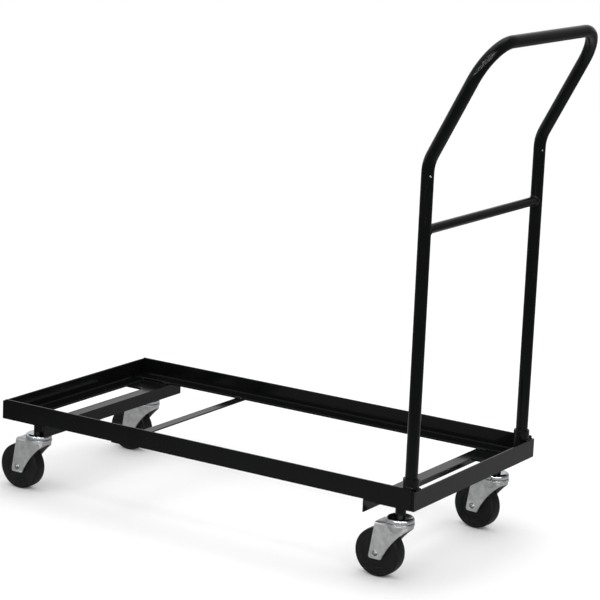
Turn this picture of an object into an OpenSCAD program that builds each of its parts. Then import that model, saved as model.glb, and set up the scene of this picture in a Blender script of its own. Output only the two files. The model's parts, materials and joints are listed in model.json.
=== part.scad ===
// Open-deck chair trolley: angle-iron frame, plug-in push handle and four swivel casters.
// Millimetres, +Z up. The origin is on the floor, at the middle of the trolley's outline.
// Front is the low deck end (-X), rear is the handle end (+X), left is -Y and right is +Y.

/* [Deck frame] */
// Length of the deck over the end rails
deck_length = 1040; // [900:5:1300]
// Width of the deck over the side rails
deck_width = 508; // [440:2:640]
// Leg of the rail angle, the same both ways
rail_leg = 40; // [36:1:50]
// Thickness of the rail angle
rail_t = 4; // [3:0.25:5]
// Fillet in the root of the rails and cross-angles
root_r = 3; // [1:0.25:4]
// Rounding of the angles' inner toes
angle_toe_r = 1.5; // [0.5:0.25:2]

/* [Cross members] */
// Leg of the cross-angles, the same both ways
cross_leg = 28; // [25:0.5:34]
// Thickness of the cross-angles
cross_t = 3; // [2.5:0.25:5]
// From the deck's front end to the front cross-angle's upright leg
front_cross_at = 115.5; // [106:0.5:135]
// From the deck's rear end to the rear cross-angle's upright leg
rear_cross_at = 117.5; // [106:0.5:135]
// How far the cross members stop short of the deck's sides
cross_inset = 1.5; // [0.5:0.5:6]
// From the deck's front end to the middle of the strap
strap_at = 307; // [250:0.5:600]
// Width of the strap
strap_w = 22; // [16:1:40]
// Thickness of the strap
strap_t = 3; // [2.5:0.25:5]

/* [Caster corners] */
// Thickness of the corner plates
plate_t = 4; // [3:0.5:6]
// From the deck's side to the inner edge of a corner plate
plate_reach = 113; // [95:1:130]
// From the deck's side to the outer edge of a corner plate
plate_inset = 0.5; // [0.5:0.5:6]
// Rounding of the plates' corners
plate_corner_r = 1.5; // [1:0.5:6]
// Diameter of the bosses under the plates
boss_d = 22; // [18:0.5:26]
// Length of the bosses
boss_length = 33.4; // [25:0.1:45]
// Weld fillet where a boss meets its plate
boss_weld = 3; // [1:0.5:5]
// From the deck's side to the swivel axes
caster_inset = 53.5; // [45:0.5:65]
// From the deck's front end to the front swivel axes
front_caster_at = 58.5; // [56:0.5:66]
// From the deck's rear end to the rear swivel axes
rear_caster_at = 59.5; // [56:0.5:66]
// Swivel of the rear right caster as it stands
rear_right_turn = -7.5; // [-45:0.5:45]

/* [Push handle] */
// Outside diameter of the handle tube
handle_d = 25.4; // [22:0.1:28]
// Wall of the handle tube
handle_wall = 1.5; // [1.2:0.1:2.5]
// From the end rails' underside to the point where the uprights turn
bend_height = 687.5; // [500:0.5:800]
// Lean of the handle's upper part
handle_rake = 27.5; // [10:0.5:45]
// Length of the leaning part, from the turn to the top bar's axis
handle_slant = 267; // [200:1:320]
// Centreline radius of every bend in the tube
bend_r = 80; // [50:1:95]
// Outside diameter of the cross bar
bar_d = 19; // [15:0.5:22]
// Wall of the cross bar
bar_wall = 1.5; // [1:0.1:2.5]
// From the end rails' underside to the cross bar's axis
bar_height = 556; // [300:1:600]
// Outside diameter of the handle sockets
socket_d = 33.4; // [32:0.1:38]
// From the end rails' underside to the top of the sockets
socket_top = 61; // [50:1:90]
// Head of the rivets on the uprights
rivet_head_d = 5; // [4.6:0.1:9]
// Shank of those rivets
rivet_d = 3.2; // [2.4:0.1:4]
// From the point where the uprights turn down to the rivets
rivet_drop = 25; // [24:1:60]
// Way that the rivets face, turned from the rear towards the left
rivet_turn = 33; // [0:1:90]

/* [Caster wheels] */
// Diameter of the wheels
wheel_d = 101.6; // [95:0.1:108]
// Width of the tyres
wheel_w = 30; // [24:0.5:33]
// Rounding of the tyres' shoulders
shoulder_r = 4; // [2:0.5:9]
// Crown of the tread, as the radius of its profile
tread_r = 100; // [40:1:150]
// Diameter at which the tyre sits on the core
core_d = 76; // [66:1:84]
// Width of the core's rim
core_w = 29; // [20:0.5:29]
// Inside diameter of the core's rim
core_rim_d = 62; // [52:1:64]
// Thickness of the core's web
web_t = 27; // [6:0.5:28]
// Diameter of the core's hub
hub_d = 24; // [20:0.5:30]
// Diameter of the spanner bush that the wheel turns on
bush_d = 12; // [11:0.5:15]
// Diameter of the riveted axle
axle_d = 8; // [6:0.5:9]
// Diameter of the axle's heads
axle_head_d = 13; // [11:0.5:16]
// Height of the axle's heads
axle_head_h = 3; // [2:0.25:5]

/* [Caster forks] */
// From the floor to the top of the swivel cup
caster_height = 132; // [127:0.5:145]
// From the swivel axis back to the wheel's axle
trail = 43; // [38:0.5:50]
// Thickness of the pressed fork
fork_t = 3; // [2:0.25:4]
// Room between the fork's legs
fork_gap = 36; // [34:0.5:42]
// Outside radius of the bends between crown and legs
fork_bend_r = 6; // [5:0.5:9]
// Diameter of the fork's round crown
crown_d = 59; // [56:0.5:66]
// How far the crown's round edge stands out over the skirt below it
crown_lip = 1.5; // [0.5:0.25:3]
// From the swivel axis back to the crown's straight rear edge
crown_back = 46; // [40:0.5:52]
// Height over which the skirt draws in from the crown to the legs
skirt_h = 21; // [14:0.5:26]
// From the crown's top down to the skirt's edge at the front
brow_h = 6.5; // [5:0.5:12]
// How far the legs reach behind the axle
heel_back = 15.5; // [12:0.5:18]
// How far the legs reach in front of the axle
toe_front = 13.5; // [11:0.5:16]
// How far the legs reach below the axle
foot_drop = 12; // [10:0.5:16]
// Rounding of the legs' rear lower corners
heel_r = 5; // [3:0.5:9]
// Rounding of the legs' front lower corners
toe_r = 4; // [2:0.5:6]
// Radius of the hollow front edge of the legs
front_arc_r = 183; // [120:1:300]

/* [Caster swivels] */
// Diameter of the swivel cup
cup_d = 57.4; // [54:0.1:62]
// Height of the swivel cup
cup_h = 10.5; // [9.5:0.25:13]
// Thickness of the swivel cup
cup_t = 2.2; // [1.8:0.1:3]
// Rounding of the cup's top edge
cup_shoulder_r = 6; // [3:0.5:7]
// Running gap between the cup's rim and the lower race
race_gap = 1; // [0.6:0.1:2]
// Height of the lower race's rim, which shows under the cup
race_rim_h = 2.5; // [1.5:0.25:4]
// Rounding of that rim
race_rim_r = 1; // [0.5:0.25:1.25]
// Diameter of the bearing balls
ball_d = 6.35; // [5.5:0.05:6.8]
// Number of balls in each swivel
ball_count = 12; // [8:1:16]
// Diameter of the circle that the balls run on
ball_circle_d = 40; // [36:0.5:43]
// Depth of the groove in the lower race
groove_depth = 1.2; // [0.8:0.1:1.8]
// Width of the lower race, across its ring
race_w = 11; // [9:0.5:12]
// Diameter of the threaded stem and kingpin
stem_d = 12; // [10:0.5:13]
// How far the stem reaches into the boss
stem_reach = 27; // [15:1:32]
// Diameter of the washer under the crown
washer_d = 24; // [20:0.5:28]
// Thickness of that washer
washer_t = 2; // [1.5:0.25:3]
// Diameter of the kingpin's head
head_d = 19; // [16:0.5:22]
// Height of the kingpin's head
head_h = 4; // [3:0.25:6]

/* [Fits] */
// Radial play of every pin, bush and socket
pin_play = 0.05; // [0.02:0.01:0.1]
// Play of the balls, and of the washer under the crown
bearing_play = 0.1; // [0.05:0.05:0.2]
// Gap left where a moving piece rests on or runs beside a fixed one
seat_gap = 0.3; // [0.2:0.05:0.5]
// Gap left for the weld where round meets flat
weld_gap = 0.2; // [0.1:0.05:0.4]

/* [Hidden] */
$fn = 72;
CORNERS = ["front_left", "front_right", "rear_left", "rear_right"];
CORNER_PIECES = ["plate", "stem", "top_race", "balls", "lower_race", "washer",
                 "fork", "axle", "bush", "wheel_core", "tyre"];

black_paint = "#17181a";
zinc_plate = "#b4b8ba";
bright_steel = "#d7dadb";
black_rubber = "#1d1e1f";
black_plastic = "#232425";

half_width = deck_width / 2;
axle_z = wheel_d / 2;
cup_bottom = caster_height - cup_h;
race_rim_top = cup_bottom - race_gap;
crown_top = race_rim_top - race_rim_h;
crown_bottom = crown_top - fork_t;
ball_z = caster_height - cup_t - bearing_play - ball_d / 2;
race_top = ball_z - ball_d / 2 + groove_depth;
washer_top = crown_bottom - bearing_play;
head_top = washer_top - washer_t;
leg_y = fork_gap / 2 + fork_t;
front_r = crown_d / 2 - crown_lip;
boss_top = caster_height + boss_length;
deck_z = boss_top + plate_t - rail_t;

caster_y = half_width - caster_inset;
caster_turn = [0, 0, 0, rear_right_turn];
side_rail_cut = rail_t + root_r + weld_gap;

handle_inset = rail_t + weld_gap + socket_d / 2;
handle_x = deck_length - handle_inset;
handle_y = half_width - handle_inset;
handle_r = handle_d / 2;
socket_foot = 2 * rail_t;
handle_foot = socket_foot + seat_gap;
bend_tangent = bend_r * tan(handle_rake / 2);
upright_top = round(100 * (bend_height - bend_tangent)) / 100;
slant_length = round(100 * (handle_slant - bend_tangent - bend_r)) / 100;
grip_y = handle_y - bend_r;
grip_x = handle_x + bend_r * (1 - cos(handle_rake)) + (slant_length + bend_r) * sin(handle_rake);
rivet_z = bend_height - rivet_drop;
rivet_head_h = rivet_head_d / 4;

front_reach = min(0, front_caster_at - trail - wheel_d / 2);
rear_reach = max(deck_length, grip_x + handle_r);
middle_x = (front_reach + rear_reach) / 2;

// Flat shapes

function unit(v) = v / norm(v);
function corner_half(p, q, n) = acos(unit(p - q) * unit(n - q)) / 2;
function corner_start(p, q, n, r) = q + unit(p - q) * r / tan(corner_half(p, q, n));
function corner_centre(p, q, n, r) = q + unit(unit(p - q) + unit(n - q)) * r / sin(corner_half(p, q, n));

// A convex outline through points, each corner rounded to its own radius
module rounded_outline(points, radii) {
    last = len(points) - 1;
    before = [for (i = [0:last]) points[i == 0 ? last : i - 1]];
    after = [for (i = [0:last]) points[i == last ? 0 : i + 1]];
    polygon([for (i = [0:last]) each radii[i] == 0
        ? [points[i]]
        : [corner_start(before[i], points[i], after[i], radii[i]),
           corner_start(after[i], points[i], before[i], radii[i])]]);
    for (i = [0:last])
        if (radii[i] > 0)
            translate(corner_centre(before[i], points[i], after[i], radii[i])) circle(radii[i]);
}

// The web that fills the corner of two square edges with a hollow round
module root_fillet(r) {
    difference() {
        square(r);
        translate([r, r]) circle(r);
    }
}

// Cross-section of equal angle, with its heel at the origin and its inner toes rounded
module angle_section(leg, t) {
    difference() {
        union() {
            square([leg, t]);
            square([t, leg]);
        }
        translate([leg, t]) rotate(180) root_fillet(angle_toe_r);
        translate([t, leg]) rotate(180) root_fillet(angle_toe_r);
    }
    translate([t, t]) root_fillet(root_r);
}

// Places

module on_deck() {
    translate([-middle_x, 0, deck_z]) children();
}

module from_rear() {
    translate([deck_length, 0, 0]) mirror([1, 0, 0]) children();
}

function is_front(corner) = corner < 2;
function side(corner) = corner % 2 == 0 ? -1 : 1;
function caster_x(corner) = is_front(corner) ? front_caster_at : deck_length - rear_caster_at;

// The floor under a swivel axis, with -X the way that the wheel trails
module at_caster(corner) {
    translate([caster_x(corner) - middle_x, side(corner) * caster_y, 0])
        rotate([0, 0, caster_turn[corner]]) children();
}

// The middle of a caster's wheel, with +Z along the axle
module at_axle() {
    translate([-trail, 0, axle_z]) rotate([-90, 0, 0]) children();
}

// Deck frame

// Side rail, lying on the end rails' flat legs and cut short between their upright legs
module left_side_rail() {
    length = deck_length - 2 * side_rail_cut;
    color(black_paint) on_deck() translate([side_rail_cut, -half_width, rail_t]) rotate([90, 0, 90])
        linear_extrude(length) angle_section(rail_leg, rail_t);
}

module right_side_rail() {
    mirror([0, 1, 0]) left_side_rail();
}

// End rail, cut square at the deck's full width
module end_rail() {
    color(black_paint) rotate([90, 0, 0])
        linear_extrude(deck_width, center = true) angle_section(rail_leg, rail_t);
}

module front_end_rail() {
    on_deck() end_rail();
}

module rear_end_rail() {
    on_deck() from_rear() end_rail();
}

// Angle across the deck under the side rails, its flat leg towards the deck's end
module cross_angle(at) {
    color(black_paint) translate([at, 0, rail_t])
        mirror([1, 0, 0]) mirror([0, 0, 1]) rotate([90, 0, 0])
            linear_extrude(deck_width - 2 * cross_inset, center = true) angle_section(cross_leg, cross_t);
}

module front_cross_angle() {
    on_deck() cross_angle(front_cross_at);
}

module rear_cross_angle() {
    on_deck() from_rear() cross_angle(rear_cross_at);
}

module deck_strap() {
    length = deck_width - 2 * cross_inset;
    color(black_paint) on_deck()
        translate([strap_at - strap_w / 2, -length / 2, rail_t - strap_t]) cube([strap_w, length, strap_t]);
}

// Plate under the side rail, between the flat legs of the end rail and the cross-angle
module corner_plate(cross_at, side) {
    x0 = rail_leg + weld_gap;
    x1 = cross_at - cross_leg - weld_gap;
    y0 = half_width - plate_reach;
    y1 = half_width - plate_inset;
    color(black_paint) mirror([0, side < 0 ? 1 : 0, 0])
        translate([0, 0, rail_t - plate_t]) linear_extrude(plate_t)
            rounded_outline([[x0, y0], [x1, y0], [x1, y1], [x0, y1]],
                            [for (i = [0:3]) plate_corner_r]);
}

module plate(corner) {
    on_deck()
        if (is_front(corner)) corner_plate(front_cross_at, side(corner));
        else from_rear() corner_plate(rear_cross_at, side(corner));
}

// Round boss under each plate, bored from below for the caster's stem
module caster_bosses() {
    color(black_paint) for (corner = [0:3]) at_caster(corner) rotate_extrude() {
        difference() {
            translate([0, caster_height]) square([boss_d / 2, boss_length]);
            translate([0, caster_height - 1]) square([stem_d / 2 + pin_play, stem_reach + seat_gap + 1]);
        }
        translate([boss_d / 2, boss_top]) mirror([0, 1]) root_fillet(boss_weld);
    }
}

// Short upright tube for the handle, standing in the corner and relieved below to clear the rails' roots
module handle_socket() {
    relief = root_r + weld_gap;
    wall = socket_d / 2 - handle_r - pin_play;
    color(black_paint) on_deck() translate([handle_x, handle_y, 0]) rotate_extrude()
        translate([handle_r + pin_play, 0])
            polygon([[0, socket_foot], [max(0.5, wall - relief), socket_foot], [wall, socket_foot + relief],
                     [wall, socket_top - 1], [wall - 1, socket_top], [0, socket_top]]);
}

module left_handle_socket() {
    mirror([0, 1, 0]) handle_socket();
}

module right_handle_socket() {
    handle_socket();
}

// Push handle

// The foot of the bow's leaning part, midway between its two sides
module on_slant() {
    translate([handle_x + bend_r, 0, upright_top]) rotate([0, handle_rake, 0])
        translate([-bend_r, 0, 0]) children();
}

module bend(r, angle) {
    rotate_extrude(angle = angle) translate([bend_r, 0]) circle(r);
}

// One side of the bow as a round bar: lower bend, leaning part and corner
module bow_side(r) {
    translate([bend_r, handle_y, 0]) mirror([1, 0, 0]) rotate([-90, 0, 0]) bend(r, handle_rake);
    translate([0, handle_y, 0]) cylinder(r = r, h = slant_length);
    translate([0, grip_y, slant_length]) rotate([90, 0, 90]) bend(r, 90);
}

module bow_bar(r) {
    bow_side(r);
    mirror([0, 1, 0]) bow_side(r);
    translate([0, 0, slant_length + bend_r]) rotate([90, 0, 0]) cylinder(r = r, h = 2 * grip_y, center = true);
}

// Bent top of the handle, butt-jointed to the uprights where the lower bends begin
module handle_bow() {
    color(black_paint) on_deck() on_slant() difference() {
        bow_bar(handle_r);
        bow_bar(handle_r - handle_wall);
    }
}

module at_rivets() {
    for (y = [-handle_y, handle_y])
        translate([handle_x, y, rivet_z]) rotate([0, 90, -rivet_turn]) children();
}

// Straight tube from the socket's floor up to the bow
module handle_upright(y) {
    color(black_paint) on_deck() difference() {
        translate([handle_x, y, handle_foot]) cylinder(r = handle_r, h = upright_top - handle_foot);
        translate([handle_x, y, 0]) cylinder(r = handle_r - handle_wall, h = bend_height);
        at_rivets() cylinder(d = rivet_d + 2 * pin_play, h = handle_d);
    }
}

module left_handle_upright() {
    handle_upright(-handle_y);
}

module right_handle_upright() {
    handle_upright(handle_y);
}

// Straight tube between the uprights, its ends hollowed to fit them
module handle_cross_bar() {
    color(black_paint) on_deck() difference() {
        translate([handle_x, 0, bar_height]) rotate([90, 0, 0]) difference() {
            cylinder(d = bar_d, h = 2 * handle_y, center = true);
            cylinder(d = bar_d - 2 * bar_wall, h = 2 * handle_y + 1, center = true);
        }
        for (y = [-handle_y, handle_y])
            translate([handle_x, y, bar_height - bar_d]) cylinder(r = handle_r + pin_play, h = 2 * bar_d);
    }
}

// Domed rivets through the outer wall of each upright
module handle_rivets() {
    dome_r = (pow(rivet_head_d / 2, 2) + pow(rivet_head_h, 2)) / (2 * rivet_head_h);
    color(bright_steel) on_deck() at_rivets() rotate_extrude() {
        translate([0, handle_r - handle_wall]) square([rivet_d / 2, handle_wall + weld_gap]);
        translate([0, handle_r + weld_gap]) intersection() {
            translate([0, rivet_head_h - dome_r]) circle(dome_r);
            square([rivet_head_d, rivet_head_h]);
        }
    }
}

// Caster swivel

// Threaded stem that is also the kingpin, with its head under the crown
module stem() {
    stem_r = stem_d / 2;
    stem_top = caster_height + stem_reach;
    color(bright_steel) rotate_extrude() polygon([
        [0, head_top - head_h], [head_d / 2 - 1, head_top - head_h], [head_d / 2, head_top - head_h + 1],
        [head_d / 2, head_top], [stem_r, head_top], [stem_r, stem_top - 1], [stem_r - 1, stem_top],
        [0, stem_top]]);
}

// Pressed cup, open below, that covers the balls
module top_race() {
    cup_r = cup_d / 2;
    inner_r = cup_r - cup_t;
    ceiling = caster_height - cup_t;
    color(bright_steel) rotate_extrude() difference() {
        translate([0, cup_bottom]) square([cup_r, cup_h]);
        translate([cup_r, caster_height]) mirror([1, 0]) mirror([0, 1]) root_fillet(cup_shoulder_r);
        difference() {
            translate([0, cup_bottom - 1]) square([inner_r, ceiling - cup_bottom + 1]);
            translate([inner_r, ceiling]) mirror([1, 0]) mirror([0, 1])
                root_fillet(max(1, cup_shoulder_r - cup_t));
        }
        square([stem_d / 2 + pin_play, caster_height + 1]);
    }
}

module balls() {
    color(bright_steel) for (i = [0:ball_count - 1])
        rotate([0, 0, 360 * i / ball_count]) translate([ball_circle_d / 2, 0, ball_z]) sphere(d = ball_d);
}

// Ring on the crown, grooved for the balls, with a rim as wide as the cup
module lower_race() {
    race_r = (ball_circle_d - race_w) / 2;
    color(bright_steel) rotate_extrude() difference() {
        union() {
            translate([race_r, crown_top]) square([race_w, race_top - crown_top]);
            translate([race_r, crown_top]) square([cup_d / 2 - race_r, race_rim_h]);
        }
        translate([cup_d / 2, race_rim_top]) mirror([1, 0]) mirror([0, 1]) root_fillet(race_rim_r);
        translate([ball_circle_d / 2, ball_z]) circle(ball_d / 2 + bearing_play);
    }
}

module washer() {
    color(zinc_plate) translate([0, 0, head_top]) difference() {
        cylinder(d = washer_d, h = washer_t);
        translate([0, 0, -1]) cylinder(r = stem_d / 2 + pin_play, h = washer_t + 2);
    }
}

// Caster fork

// The fork from the side: straight back, rounded feet and a hollow front edge
module fork_side() {
    toe = [toe_front - trail, axle_z - foot_drop];
    brow = [crown_d / 2, crown_top - brow_h];
    along = unit(brow - toe);
    rise = sqrt(pow(front_arc_r, 2) - pow(norm(brow - toe) / 2, 2));
    difference() {
        rounded_outline(
            [[-crown_back, crown_top], [-trail - heel_back, axle_z - foot_drop], toe, brow,
             [crown_d / 2, crown_top]],
            [2, heel_r, toe_r, 0, 0]);
        translate((toe + brow) / 2 + rise * [along[1], -along[0]]) circle(front_arc_r, $fn = 180);
    }
}

// The fork from above: straight behind the swivel axis, round under the crown's front
module leg_plan() {
    length = trail + heel_back + fork_t;
    circle(r = front_r);
    translate([-length, -crown_d / 2]) square([length, crown_d]);
}

// Long arch across the caster, as wide and high as the fork or its inside
module fork_arch(half, top, bend) {
    length = 4 * trail;
    rotate([90, 0, 90]) linear_extrude(length, center = true)
        rounded_outline([[-half, 0], [half, 0], [half, top], [-half, top]], [0, 0, bend, bend]);
}

// Skirt that draws in from the round crown to the legs, or the hollow inside it
module crown_skirt(draw) {
    start_r = crown_d / 2 - crown_lip - draw;
    end_r = leg_y - fork_t / 2 - draw;
    rotate_extrude() polygon([
        [0, crown_bottom], [start_r, crown_bottom], [end_r, crown_top - skirt_h], [0, crown_top - skirt_h]]);
}

// Room between the legs for the wheel, which leaves the round wall under the crown's front
module wheel_room() {
    difference() {
        fork_arch(leg_y - fork_t, crown_bottom, fork_bend_r - fork_t);
        difference() {
            translate([0, -crown_d / 2, crown_top - skirt_h]) cube([crown_d, crown_d, skirt_h]);
            cylinder(r = front_r - fork_t, h = crown_bottom);
        }
    }
}

module fork() {
    color(zinc_plate) difference() {
        intersection() {
            rotate([90, 0, 0]) linear_extrude(2 * crown_d, center = true) fork_side();
            union() {
                intersection() {
                    fork_arch(leg_y, crown_top, fork_bend_r);
                    linear_extrude(caster_height) leg_plan();
                }
                translate([0, 0, crown_bottom]) cylinder(d = crown_d, h = fork_t);
                crown_skirt(0);
            }
        }
        wheel_room();
        crown_skirt(fork_t);
        cylinder(r = stem_d / 2 + pin_play, h = caster_height);
        at_axle() cylinder(r = axle_d / 2 + pin_play, h = 4 * leg_y, center = true);
    }
}

// Caster wheel

// Solid axle with a domed head outside each leg
module axle() {
    dome_r = (pow(axle_head_d / 2, 2) + pow(axle_head_h, 2)) / (2 * axle_head_h);
    color(bright_steel) at_axle() {
        cylinder(d = axle_d, h = 2 * leg_y, center = true);
        for (flip = [0, 1])
            mirror([0, 0, flip]) translate([0, 0, leg_y]) rotate_extrude() intersection() {
                translate([0, axle_head_h - dome_r]) circle(dome_r);
                square([axle_head_d, axle_head_h]);
            }
    }
}

// Sleeve clamped between the legs
module bush() {
    color(bright_steel) at_axle() difference() {
        cylinder(d = bush_d, h = fork_gap, center = true);
        cylinder(r = axle_d / 2 + pin_play, h = fork_gap + 2, center = true);
    }
}

module wheel_core() {
    bore_r = bush_d / 2 + pin_play;
    hub_l = fork_gap - 2 * seat_gap;
    color(black_plastic) at_axle() rotate_extrude() {
        translate([bore_r, -hub_l / 2]) square([hub_d / 2 - bore_r, hub_l]);
        translate([bore_r, -web_t / 2]) square([core_d / 2 - bore_r, web_t]);
        translate([core_rim_d / 2, -core_w / 2]) square([(core_d - core_rim_d) / 2, core_w]);
    }
}

// Tyre with rounded shoulders and a crowned tread
module tyre() {
    color(black_rubber) at_axle() rotate_extrude() intersection() {
        rounded_outline(
            [[core_d / 2, -wheel_w / 2], [wheel_d / 2, -wheel_w / 2],
             [wheel_d / 2, wheel_w / 2], [core_d / 2, wheel_w / 2]],
            [0, shoulder_r, shoulder_r, 0]);
        translate([wheel_d / 2 - tread_r, 0]) circle(tread_r, $fn = 180);
    }
}

left_side_rail();
right_side_rail();
front_end_rail();
rear_end_rail();
front_cross_angle();
rear_cross_angle();
deck_strap();
caster_bosses();
left_handle_socket();
right_handle_socket();
left_handle_upright();
right_handle_upright();
handle_bow();
handle_cross_bar();
handle_rivets();
for (corner = [0:3]) {
    name = CORNERS[corner];
    plate(corner);
    at_caster(corner) stem();
    at_caster(corner) top_race();
    at_caster(corner) balls();
    at_caster(corner) lower_race();
    at_caster(corner) washer();
    at_caster(corner) fork();
    at_caster(corner) axle();
    at_caster(corner) bush();
    at_caster(corner) wheel_core();
    at_caster(corner) tyre();
}
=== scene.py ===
# %% [markdown]
# # An open-deck chair trolley
# The CAD model brings every solid piece of the trolley: the deck of steel angle, the push handle and the
# four casters. This lesson gives those pieces their finishes, adds the welds that hold the frame together,
# and sets up the camera, the floor and the light.

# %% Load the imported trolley
import json
import math

import bpy
from mathutils import Matrix, Vector


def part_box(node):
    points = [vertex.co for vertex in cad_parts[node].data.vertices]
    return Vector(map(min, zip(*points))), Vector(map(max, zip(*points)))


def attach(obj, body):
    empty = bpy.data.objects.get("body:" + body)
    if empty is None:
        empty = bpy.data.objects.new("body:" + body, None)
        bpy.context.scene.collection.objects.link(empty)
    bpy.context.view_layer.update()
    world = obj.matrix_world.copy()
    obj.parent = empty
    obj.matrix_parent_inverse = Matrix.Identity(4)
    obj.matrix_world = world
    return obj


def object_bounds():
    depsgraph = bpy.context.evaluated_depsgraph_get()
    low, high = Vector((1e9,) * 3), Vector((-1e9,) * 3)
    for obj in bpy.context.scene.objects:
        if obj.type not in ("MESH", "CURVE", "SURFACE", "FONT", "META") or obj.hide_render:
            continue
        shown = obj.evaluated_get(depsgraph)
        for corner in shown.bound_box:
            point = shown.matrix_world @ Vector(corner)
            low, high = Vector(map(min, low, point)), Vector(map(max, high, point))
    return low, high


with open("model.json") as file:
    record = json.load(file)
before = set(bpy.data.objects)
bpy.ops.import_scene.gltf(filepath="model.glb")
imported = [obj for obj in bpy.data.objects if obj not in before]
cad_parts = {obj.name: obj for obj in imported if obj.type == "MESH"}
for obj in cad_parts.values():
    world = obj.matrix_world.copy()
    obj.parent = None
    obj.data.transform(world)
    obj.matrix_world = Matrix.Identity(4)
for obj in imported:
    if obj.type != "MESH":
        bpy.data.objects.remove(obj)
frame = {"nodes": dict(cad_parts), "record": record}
cad_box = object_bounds()
nodes = frame["nodes"]
MM = 0.001
print("CAD pieces:", len(nodes), "box in metres:", [round(v, 4) for corner in cad_box for v in corner])

# %% [markdown]
# ## The camera
# The camera stands off the left side, towards the handle end and half a metre higher than the handle, with
# a long lens. Its place and direction were worked out from straight edges of the deck and the handle, so it
# is written as a place, a direction ahead and a direction to the right. The horizon tips by about two
# degrees, as it does in the photograph.

# %% Camera
camera_place = Vector((2639.15, -4113.402, 1559.245)) * MM
ahead = Vector((-0.52216476, 0.82496475, -0.21628019))
rightward = Vector((0.83934314, 0.54204484, 0.04111554))
upward = rightward.cross(ahead)
camera = bpy.data.objects.new("camera", bpy.data.cameras.new("camera"))
bpy.context.scene.collection.objects.link(camera)
turn = Matrix((rightward, upward, -ahead)).transposed().to_4x4()
camera.matrix_world = Matrix.Translation(camera_place) @ turn
camera.data.sensor_width = 36
camera.data.lens = 141.404
camera.data.clip_end = 100
bpy.context.scene.camera = camera
print("camera distance in metres:", round(camera_place.length, 2))

# %% [markdown]
# ## Tools for the finishes
# Colours are written as the hex values of a paint chart. Shaders work with linear light, so one function
# turns the chart's values into it. A second small function adds a shader node, sets it up and links its
# inputs. A pattern's scale is given by the size of its marks in millimetres.

# %% Colour and shader helpers
def linear(hex_colour):
    channels = [int(hex_colour[i:i + 2], 16) / 255 for i in (1, 3, 5)]
    return [c / 12.92 if c <= 0.04045 else ((c + 0.055) / 1.055) ** 2.4 for c in channels] + [1]


def add(tree, kind, inputs=None, **settings):
    node = tree.nodes.new(kind)
    for key, value in settings.items():
        setattr(node, key, value)
    for key, value in (inputs or {}).items():
        if isinstance(value, bpy.types.NodeSocket):
            tree.links.new(value, node.inputs[key])
        else:
            node.inputs[key].default_value = value
    return node


def new_finish(name):
    material = bpy.data.materials.new(name)
    material.use_nodes = True
    tree = material.node_tree
    shader = tree.nodes["Principled BSDF"]
    place = add(tree, "ShaderNodeTexCoord").outputs["Object"]
    return material, tree, shader, place


def per_metre(size_mm):
    return 1000 / size_mm


print("white in linear light:", linear("#ffffff"))

# %% [markdown]
# ## Black powder coat
# The whole frame is coated with black polyester powder, sprayed on dry and baked until it flows. It comes out
# semi-gloss, with the faint waves called orange peel, and it reads as black with soft grey reflections. The
# waves are about 2 mm across on the real coat, too fine for this picture, so they are drawn 5 mm across. A
# wider cloud changes the gloss a little, as the thickness of the coat does. The low index of refraction keeps
# the faces that look at the camera deep black, while faces seen at a glancing angle still catch the light.

# %% Powder coat
powder_coat, tree, shader, place = new_finish("black_polyester_powder_coat")
cloud = add(tree, "ShaderNodeTexNoise", {"Vector": place, "Scale": per_metre(60), "Detail": 3})
peel = add(tree, "ShaderNodeTexNoise", {"Vector": place, "Scale": per_metre(5), "Detail": 1})
colour = add(tree, "ShaderNodeMix", {
    "Factor": cloud.outputs["Fac"], 6: linear("#080909"), 7: linear("#0e0f0f")}, data_type="RGBA")
gloss = add(tree, "ShaderNodeMapRange", {"Value": cloud.outputs["Fac"], "To Min": 0.09, "To Max": 0.18})
waves = add(tree, "ShaderNodeBump", {"Height": peel.outputs["Fac"], "Strength": 0.2, "Distance": 0.2 * MM})
tree.links.new(colour.outputs[2], shader.inputs["Base Color"])
tree.links.new(gloss.outputs["Result"], shader.inputs["Roughness"])
tree.links.new(waves.outputs["Normal"], shader.inputs["Normal"])
shader.inputs["IOR"].default_value = 1.2
print("made", powder_coat.name)

# %% [markdown]
# ## Zinc plate
# The forks are pressed from sheet steel and barrel-plated with zinc, which leaves a grey metal with cloudy
# patches a centimetre or two across and fine scuffs from the barrel. The eye sees a soft sheen and no clear
# mirror image. A skin of oxide dulls the metal, so it is a little less than fully metallic. Real scuffs are
# under a millimetre wide, too fine for this picture, so they are drawn 2.5 mm across.

# %% Zinc plate
zinc_plate, tree, shader, place = new_finish("zinc_plated_pressed_steel")
patches = add(tree, "ShaderNodeTexNoise", {
    "Vector": place, "Scale": per_metre(14), "Detail": 4, "Roughness": 0.6})
scuffs = add(tree, "ShaderNodeTexNoise", {"Vector": place, "Scale": per_metre(2.5), "Detail": 2})
colour = add(tree, "ShaderNodeMix", {
    "Factor": patches.outputs["Fac"], 6: linear("#767777"), 7: linear("#c6c7c7")}, data_type="RGBA")
gloss = add(tree, "ShaderNodeMapRange", {"Value": patches.outputs["Fac"], "To Min": 0.28, "To Max": 0.42})
dents = add(tree, "ShaderNodeBump", {"Height": scuffs.outputs["Fac"], "Strength": 0.15, "Distance": 0.2 * MM})
tree.links.new(colour.outputs[2], shader.inputs["Base Color"])
tree.links.new(gloss.outputs["Result"], shader.inputs["Roughness"])
tree.links.new(dents.outputs["Normal"], shader.inputs["Normal"])
shader.inputs["Metallic"].default_value = 0.85
print("made", zinc_plate.name)

# %% [markdown]
# ## Bright plated steel
# The swivel cups, races, balls and stems are turned or drawn parts with a smooth, dark, glossy plating,
# between zinc and chrome. They keep sharper reflections than the forks, so they show dark sides and white
# lines. The grain left by turning is far too fine to see here, so a coarser one of 6 mm stands for it.

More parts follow.
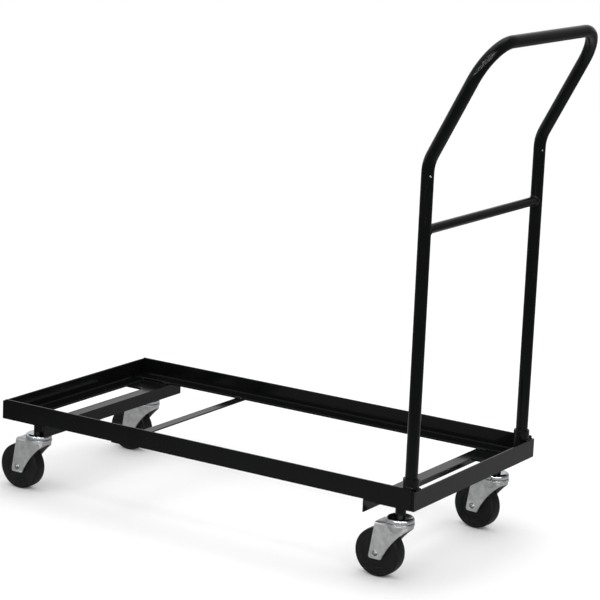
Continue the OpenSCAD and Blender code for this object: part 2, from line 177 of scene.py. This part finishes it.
# %% Bright steel
bright_steel, tree, shader, place = new_finish("bright_plated_turned_steel")
grain = add(tree, "ShaderNodeTexNoise", {"Vector": place, "Scale": per_metre(6), "Detail": 3})
colour = add(tree, "ShaderNodeMix", {
    "Factor": grain.outputs["Fac"], 6: linear("#868a8d"), 7: linear("#b2b5b7")}, data_type="RGBA")
gloss = add(tree, "ShaderNodeMapRange", {"Value": grain.outputs["Fac"], "To Min": 0.1, "To Max": 0.2})
tree.links.new(colour.outputs[2], shader.inputs["Base Color"])
tree.links.new(gloss.outputs["Result"], shader.inputs["Roughness"])
shader.inputs["Metallic"].default_value = 1
print("made", bright_steel.name)

# %% [markdown]
# ## Black rubber
# The tyres are moulded from hard black rubber, dull with a slight grey bloom and a fine grit from the mould.
# The grit is drawn 1.8 mm across, several times its real size, because a picture this small would lose it.
# Rubber scatters light widely, so its roughness is high. It gets the low index of refraction of the paint,
# so that the sides of the wheels stay as black as the frame.

# %% Rubber
black_rubber, tree, shader, place = new_finish("moulded_black_rubber")
bloom = add(tree, "ShaderNodeTexNoise", {"Vector": place, "Scale": per_metre(18), "Detail": 4})
grit = add(tree, "ShaderNodeTexNoise", {"Vector": place, "Scale": per_metre(1.8), "Detail": 2})
colour = add(tree, "ShaderNodeMix", {
    "Factor": bloom.outputs["Fac"], 6: linear("#0a0b0b"), 7: linear("#131414")}, data_type="RGBA")
gloss = add(tree, "ShaderNodeMapRange", {"Value": bloom.outputs["Fac"], "To Min": 0.48, "To Max": 0.62})
skin = add(tree, "ShaderNodeBump", {"Height": grit.outputs["Fac"], "Strength": 0.2, "Distance": 0.2 * MM})
tree.links.new(colour.outputs[2], shader.inputs["Base Color"])
tree.links.new(gloss.outputs["Result"], shader.inputs["Roughness"])
tree.links.new(skin.outputs["Normal"], shader.inputs["Normal"])
shader.inputs["IOR"].default_value = 1.2
print("made", black_rubber.name)

# %% [markdown]
# ## Black plastic
# The wheel cores inside the tyres are moulded polypropylene. It is a little smoother than the rubber, with
# faint flow marks about a centimetre wide where the melt ran round the hub.

# %% Plastic
black_plastic, tree, shader, place = new_finish("moulded_black_polypropylene")
flow = add(tree, "ShaderNodeTexNoise", {"Vector": place, "Scale": per_metre(9), "Detail": 2})
colour = add(tree, "ShaderNodeMix", {
    "Factor": flow.outputs["Fac"], 6: linear("#0a0b0b"), 7: linear("#121313")}, data_type="RGBA")
gloss = add(tree, "ShaderNodeMapRange", {"Value": flow.outputs["Fac"], "To Min": 0.45, "To Max": 0.55})
tree.links.new(colour.outputs[2], shader.inputs["Base Color"])
tree.links.new(gloss.outputs["Result"], shader.inputs["Roughness"])
shader.inputs["IOR"].default_value = 1.2
print("made", black_plastic.name)

# %% [markdown]
# ## Dull steel
# The two small domes on the handle, named rivets in the CAD model, stand in for the small glints just below
# the bends: a painted highlight, grey and matt so that each shows as a faint dot. The axles' heads are
# hammered over after plating, which leaves them dull too. Both take a rougher and darker steel than the
# swivels.

# %% Dull steel
dull_steel, tree, shader, place = new_finish("dull_grey_steel_and_painted_glints")
haze = add(tree, "ShaderNodeTexNoise", {"Vector": place, "Scale": per_metre(2), "Detail": 2})
colour = add(tree, "ShaderNodeMix", {
    "Factor": haze.outputs["Fac"], 6: linear("#55585a"), 7: linear("#85888a")}, data_type="RGBA")
tree.links.new(colour.outputs[2], shader.inputs["Base Color"])
shader.inputs["Roughness"].default_value = 0.4
shader.inputs["Metallic"].default_value = 1
print("made", dull_steel.name)

# %% [markdown]
# ## Finishing the CAD pieces
# The part's record names a material slot for every piece, so a loop can hand out the finishes. The rivets
# and axles are listed as bright steel there, and they get the dull version of it here. On the rivet domes,
# which stand in for two glints on the handle, this grey is a painted highlight.

# %% Put the finishes on the CAD pieces
FINISHES = {
    "black_powder_coat": powder_coat,
    "zinc_plate": zinc_plate,
    "bright_steel": bright_steel,
    "black_rubber": black_rubber,
    "black_plastic": black_plastic,
}
slot_of = {part["node"]: part["material_slot"] for part in frame["record"]["subparts"]}
for name, piece in nodes.items():
    finish = FINISHES[slot_of[name]]
    # The handle's rivet domes carry a painted highlight: grey dots that stand in for glints.
    if name == "handle_rivets" or name.endswith("_axle"):
        finish = dull_steel
    piece.data.materials.clear()
    piece.data.materials.append(finish)
print("finished", len(nodes), "pieces")

# %% [markdown]
# ## Weld beads
# The frame is welded with a wire-feed gun, which lays a bead of small overlapping ripples. A bead is drawn as
# a round tube along a path. Its radius swells and shrinks a little at every ripple, and it draws in at both
# ends, where the welder starts and stops. Mesh code does this better than a bevelled curve, which has no
# ripples. The paint covers the welds, so they take the powder coat.

# %% Bead maker
RIPPLE = 2.4 * MM
SWELL = 0.1
BLUNT_END = 0.02
AROUND = 12


def weld_piece(name, vertices, faces, body, round_faces):
    mesh = bpy.data.meshes.new(name)
    mesh.from_pydata(vertices, [], faces)
    for i in round_faces:
        mesh.polygons[i].use_smooth = True
    mesh.materials.append(powder_coat)
    piece = bpy.data.objects.new(name, mesh)
    bpy.context.scene.collection.objects.link(piece)
    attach(piece, body)
    return piece


def bead(name, path, radius, body, closed=False):
    lengths = [0]
    for a, b in zip(path, path[1:]):
        lengths.append(lengths[-1] + (b - a).length)
    rings = []
    for i, point in enumerate(path):
        after = path[(i + 1) % len(path)] if closed else path[min(i + 1, len(path) - 1)]
        before = path[i - 1] if closed or i else path[0]
        along = (after - before).normalized()
        if rings:
            across = (across - along * across.dot(along)).normalized()
        else:
            across = along.orthogonal().normalized()
        other = along.cross(across)
        to_end = radius if closed else min(lengths[i], lengths[-1] - lengths[i])
        draw_in = math.sqrt(max(BLUNT_END, 1 - (1 - min(1, to_end / radius)) ** 2))
        ripple = 1 + SWELL * abs(math.sin(math.pi * lengths[i] / RIPPLE))
        size = radius * draw_in * ripple / (1 + SWELL)
        angles = [2 * math.pi * k / AROUND for k in range(AROUND)]
        rings.append([point + (across * math.cos(a) + other * math.sin(a)) * size for a in angles])
    vertices = [v for ring in rings for v in ring]
    count = len(rings)
    faces = []
    for i in range(count if closed else count - 1):
        here = i * AROUND
        there = (i + 1) % count * AROUND
        for k in range(AROUND):
            faces.append((here + k, here + (k + 1) % AROUND, there + (k + 1) % AROUND, there + k))
    if not closed:
        faces.append(tuple(reversed(range(AROUND))))
        faces.append(tuple(range((count - 1) * AROUND, count * AROUND)))
    return weld_piece(name, vertices, faces, body, range(len(faces)))


def straight(start, end, step=RIPPLE / 4):
    start, end = Vector(start), Vector(end)
    count = max(2, round((end - start).length / step))
    return [start.lerp(end, i / count) for i in range(count + 1)]


print("a bead has", AROUND, "corners around and a ripple every", round(RIPPLE / MM, 1), "mm")

# %% [markdown]
# ## Welds at the deck's corners
# The side rails lie on the flat legs of the end rails, and a narrow slot is left between the side rail's end
# and the end rail's upright leg. A bead fills the slot from outside. At the front corners, which are open to
# view, the inside is filled too and ground flush with the side rail, so it is drawn as a plain block. All
# places come from the boxes of the rails.

# %% Corner welds
SIDES = (("left", -1), ("right", 1))
BEAD_R = 2 * MM
TOP_MARGIN = 2.5 * MM
SUNK = 0.3 * MM
front_low, front_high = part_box("front_end_rail")
rear_low, rear_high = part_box("rear_end_rail")
side_low, side_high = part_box("left_side_rail")
steel = side_low[2] - front_low[2]
half_width = -side_low[1]
ledge_top = front_low[2] + steel
front_wall = front_low[0] + steel
rear_wall = rear_high[0] - steel


def flush_fill(name, low, high, body):
    vertices = [(x, y, z) for x in (low[0], high[0]) for y in (low[1], high[1]) for z in (low[2], high[2])]
    faces = [(0, 1, 3, 2), (4, 6, 7, 5), (0, 4, 5, 1), (2, 3, 7, 6), (0, 2, 6, 4), (1, 5, 7, 3)]
    return weld_piece(name, vertices, faces, body, ())


corner_welds = []
for side_name, hand in SIDES:
    for end_name, wall_x, rail_x in (("front", front_wall, side_low[0]), ("rear", rear_wall, side_high[0])):
        x = (wall_x + rail_x) / 2
        y = hand * (half_width - BEAD_R)
        path = straight((x, y, ledge_top + MM), (x, y, side_high[2] - TOP_MARGIN))
        corner_welds.append(bead(f"{end_name}_{side_name}_corner_weld", path, BEAD_R, "frame"))
    y0, y1 = sorted((hand * (half_width - steel), hand * (half_width - steel / 2)))
    low = (front_wall - SUNK, y0, ledge_top - SUNK)
    high = (side_low[0] + SUNK, y1, front_high[2] - SUNK)
    corner_welds.append(flush_fill(f"front_{side_name}_inner_weld", low, high, "frame"))
slot_width = side_low[0] - front_wall
print("corner welds:", len(corner_welds), "width of the slot in mm:", round(slot_width / MM, 2))

# %% [markdown]
# ## Welds at the laps
# Where the flat leg of a side rail crosses an end rail, a cross-angle or the strap, a bead runs along the
# edge of the flat leg. The strap has the heaviest one, as on the real trolley. Each bead sits a little
# beyond the edge and a little above the lap, by a share of its own radius.

# %% Lap welds
LAP_R = 3 * MM
STRAP_R = 4.5 * MM
LAP_OUT = 0.3
LAP_UP = 0.5
flat_edge = half_width - (front_high[0] - front_low[0])
laps = [("front_end", side_low[0], front_high[0], LAP_R), ("rear_end", rear_low[0], side_high[0], LAP_R)]
for member, radius in (("front_cross_angle", LAP_R), ("deck_strap", STRAP_R), ("rear_cross_angle", LAP_R)):
    low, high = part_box(member)
    laps.append((member, low[0], high[0], radius))
lap_welds = []
for side_name, hand in SIDES:
    for lap_name, x0, x1, radius in laps:
        y = hand * (flat_edge - LAP_OUT * radius)
        z = ledge_top + LAP_UP * radius
        path = straight((x0 + MM, y, z), (x1 - MM, y, z))
        lap_welds.append(bead(f"{lap_name}_{side_name}_weld", path, radius, "frame"))
print("lap welds:", len(lap_welds))

# %% [markdown]
# ## Welds of the handle sockets
# Each socket stands in a rear corner. Two upright beads tie it to the side rail and two to the end rail,
# just beside the lines where the round tube comes nearest to the flat walls. A short bead sits on the top
# edge of each wall, a heavy lump on the left side rail. Another runs round the socket's foot, from its front
# to the side rail.

# %% Socket welds
BESIDE = 0.62
FOOT_GAP = 4 * MM
LUMP_R = {"left": 3.6 * MM, "right": 1.8 * MM}
LUMP_SUNK = 1.6 * MM
LUMP_MARGIN = 0.1 * MM
LUMP_FRONT = 5 * MM
LUMP_REAR = 2 * MM
NUGGET_IN = 0.4 * MM
FOOT_BITE = 0.5 * MM
FOOT_TURNS = [math.radians(degrees) for degrees in range(120, 241, 2)]
socket_welds = []
for side_name, hand in SIDES:
    low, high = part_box(f"{side_name}_handle_socket")
    centre = Vector(((low[0] + high[0]) / 2, (low[1] + high[1]) / 2, 0))
    radius = (high[0] - low[0]) / 2
    reach = BESIDE * radius
    fall = radius - math.sqrt(radius ** 2 - reach ** 2)
    wall_x = rear_wall - fall / 2
    wall_y = hand * (half_width - steel - fall / 2)
    foot = low[2] + FOOT_GAP
    top = rear_high[2] - MM
    for number, way in ((1, -1), (2, 1)):
        spots = (("side", centre.x + way * reach, wall_y), ("end", wall_x, centre.y + way * reach))
        for wall_name, x, y in spots:
            path = straight((x, y, foot), (x, y, top))
            weld_name = f"{side_name}_socket_{wall_name}_weld_{number}"
            socket_welds.append(bead(weld_name, path, BEAD_R, "frame"))
    lump_r = LUMP_R[side_name]
    y = hand * (half_width - lump_r - LUMP_MARGIN)
    z = side_high[2] + lump_r - LUMP_SUNK
    path = straight((centre.x - LUMP_FRONT, y, z), (side_high[0] + LUMP_REAR, y, z))
    socket_welds.append(bead(f"{side_name}_socket_side_nugget", path, lump_r, "frame"))
    x = rear_wall + NUGGET_IN
    path = straight((x, centre.y - radius / 2, rear_high[2]), (x, centre.y + radius / 2, rear_high[2]))
    socket_welds.append(bead(f"{side_name}_socket_end_nugget", path, LAP_R, "frame"))
    ring_r = radius - FOOT_BITE
    to_rail = -hand * math.pi / 4
    path = []
    for t in FOOT_TURNS:
        x = centre.x + ring_r * math.cos(t + to_rail)
        y = centre.y + ring_r * math.sin(t + to_rail)
        path.append(Vector((x, y, low[2] + MM)))
    socket_welds.append(bead(f"{side_name}_socket_foot_weld", path, BEAD_R, "frame"))
print("socket welds:", len(socket_welds))

# %% [markdown]
# ## Welds of the cross bar
# The cross bar is thinner than the uprights and meets them in a saddle line. The line is found from the two
# radii: where the bar is widest, the upright's round side falls away most. These two beads ride on the
# handle, so they rise with it.

# %% Cross bar welds
BAR_WELD_R = 3.2 * MM
low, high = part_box("handle_cross_bar")
bar_r = (high[2] - low[2]) / 2
bar_x = (low[0] + high[0]) / 2
bar_z = (low[2] + high[2]) / 2
for side_name, hand in SIDES:
    low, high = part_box(f"{side_name}_handle_upright")
    upright_r = (high[0] - low[0]) / 2
    upright_y = (low[1] + high[1]) / 2
    path = []
    for degrees in range(0, 360, 4):
        t = math.radians(degrees)
        x = bar_r * math.cos(t)
        y = upright_y - hand * math.sqrt(upright_r ** 2 - x ** 2)
        path.append(Vector((bar_x + x, y, bar_z + bar_r * math.sin(t))))
    bead(f"{side_name}_cross_bar_weld", path, BAR_WELD_R, "handle", closed=True)
print("cross bar welds on tubes of", round(2 * bar_r / MM, 1), "and", round(2 * upright_r / MM, 1), "mm")

# %% [markdown]
# ## The floor
# The trolley stands on a plain white paper sweep that keeps its shadow. Black paint and plated metal show
# mostly what they reflect, so the paper's colour in reflections differs from what the camera sees: a pool of
# light is painted round the trolley, seen only in reflections, and painted shade makes the floor dim further
# off. That keeps the black paint black and still gives the upright faces a soft grey.

# %% Floor
FLOOR_HALF = 30
PAINTED_POOL_PLACE = (0.3, 0.1)
PAINTED_POOL_CORE = 0.8
PAINTED_POOL_RADIUS = 1.7
PAINTED_POOL_LEVEL = 0.7
PAINTED_FAR_SHADE = 0.2

floor_mesh = bpy.data.meshes.new("floor")
floor_mesh.from_pydata([(x, y, 0) for x, y in ((-1, -1), (1, -1), (1, 1), (-1, 1))], [], [(0, 1, 2, 3)])
floor_mesh.transform(Matrix.Scale(FLOOR_HALF, 4))
floor = bpy.data.objects.new("floor", floor_mesh)
bpy.context.scene.collection.objects.link(floor)
white_sweep, tree, shader, place = new_finish("white_paper_sweep")
ray = add(tree, "ShaderNodeLightPath")
# Painted light in the floor's colour for reflected rays only: a painted pool of light near the trolley,
# fading to painted shade further off.
from_painted_pool = add(tree, "ShaderNodeVectorMath", {0: place, 1: (*PAINTED_POOL_PLACE, 0)}, operation="DISTANCE")
pool = add(tree, "ShaderNodeMapRange", {
    "Value": from_painted_pool.outputs["Value"], "From Min": PAINTED_POOL_CORE, "From Max": PAINTED_POOL_RADIUS,
    "To Min": PAINTED_POOL_LEVEL, "To Max": PAINTED_FAR_SHADE}, interpolation_type="SMOOTHSTEP")
paper = add(tree, "ShaderNodeMix", {
    "Factor": ray.outputs["Is Camera Ray"], 6: linear("#fbfbfb"), 7: linear("#ffffff")}, data_type="RGBA")
seen = add(tree, "ShaderNodeMix", {
    "Factor": ray.outputs["Is Glossy Ray"], 6: paper.outputs[2], 7: pool.outputs["Result"]}, data_type="RGBA")
tree.links.new(seen.outputs[2], shader.inputs["Base Color"])
shader.inputs["Roughness"].default_value = 0.9
shader.inputs["Specular IOR Level"].default_value = 0
floor_mesh.materials.append(white_sweep)
print("the pool of light is", PAINTED_POOL_RADIUS, "m in radius")

# %% [markdown]
# ## The room
# White light comes evenly from all round, so that white paper comes out white and every colour comes out
# about as written. In reflections alone, the wall at the low end is bright, the wall at the handle end is
# dark, and rows of narrow strip lights hang in front. They show the flat tops of the angles and draw the
# light lines on the bent tube and on the metal.

# %% Room
BACK_WALL = 1.1
HANDLE_WALL = 0.25
WALL_TURN = 0.5
STRIP_FRONT = Vector((0.5, -0.85, 0)).normalized()
STRIP_FADE = (0.55, 0.7)
STRIP_RISE = 0.22
STRIP_EDGE = (0.42 * STRIP_RISE, 0.45 * STRIP_RISE)
STRIP_LEVEL = 45.0

world = bpy.data.worlds.new("studio")
bpy.context.scene.world = world
world.use_nodes = True
tree = world.node_tree
ray = add(tree, "ShaderNodeLightPath")
way = add(tree, "ShaderNodeTexCoord").outputs["Generated"]
parts = add(tree, "ShaderNodeSeparateXYZ", {"Vector": way})
walls = add(tree, "ShaderNodeMapRange", {
    "Value": parts.outputs["X"], "From Min": -WALL_TURN, "From Max": WALL_TURN,
    "To Min": BACK_WALL, "To Max": HANDLE_WALL})
rows = add(tree, "ShaderNodeMath", {0: parts.outputs["Z"], 1: STRIP_RISE / 2}, operation="PINGPONG")
strips = add(tree, "ShaderNodeMapRange", {
    "Value": rows.outputs[0], "From Min": STRIP_EDGE[0], "From Max": STRIP_EDGE[1], "To Max": STRIP_LEVEL})
to_front = add(tree, "ShaderNodeVectorMath", {0: way, 1: STRIP_FRONT}, operation="DOT_PRODUCT")
in_front = add(tree, "ShaderNodeMapRange", {
    "Value": to_front.outputs["Value"], "From Min": STRIP_FADE[0], "From Max": STRIP_FADE[1]})
lights = add(tree, "ShaderNodeMath", {
    0: strips.outputs["Result"], 1: in_front.outputs["Result"]}, operation="MULTIPLY")
room = add(tree, "ShaderNodeMath", {0: lights.outputs[0], 1: walls.outputs["Result"]}, operation="ADD")
level = add(tree, "ShaderNodeMix", {
    "Factor": ray.outputs["Is Glossy Ray"], 2: 1.0, 3: room.outputs[0]}, data_type="FLOAT")
sky = tree.nodes["Background"]
sky.inputs["Color"].default_value = linear("#ffffff")
tree.links.new(level.outputs[0], sky.inputs["Strength"])
print("strip lights face", [round(v, 2) for v in STRIP_FRONT])

# %% [markdown]
# ## The lamps
# Two weak lamps give the shadow a direction: a wide one overhead keeps it soft, and a small one high up at
# the handle end adds a little shape. Both aim at the middle of the trolley.

# %% Lamps
def soft_lamp(name, place, target, size, watts):
    lamp = bpy.data.objects.new(name, bpy.data.lights.new(name, "AREA"))
    bpy.context.scene.collection.objects.link(lamp)
    lamp.data.shape = "SQUARE"
    lamp.data.size = size
    lamp.data.energy = watts
    lamp.location = place
    lamp.rotation_euler = (target - Vector(place)).to_track_quat("-Z", "Y").to_euler()


middle = (cad_box[0] + cad_box[1]) / 2
soft_lamp("overhead_lamp", place=(0.2, 0.3, 3.2), target=middle, size=2.0, watts=15)
soft_lamp("key_lamp", place=(2.7, -1.5, 2.75), target=middle, size=0.25, watts=10)
bpy.context.scene.view_settings.view_transform = "Standard"
print("lamps aim at", [round(v, 3) for v in middle])
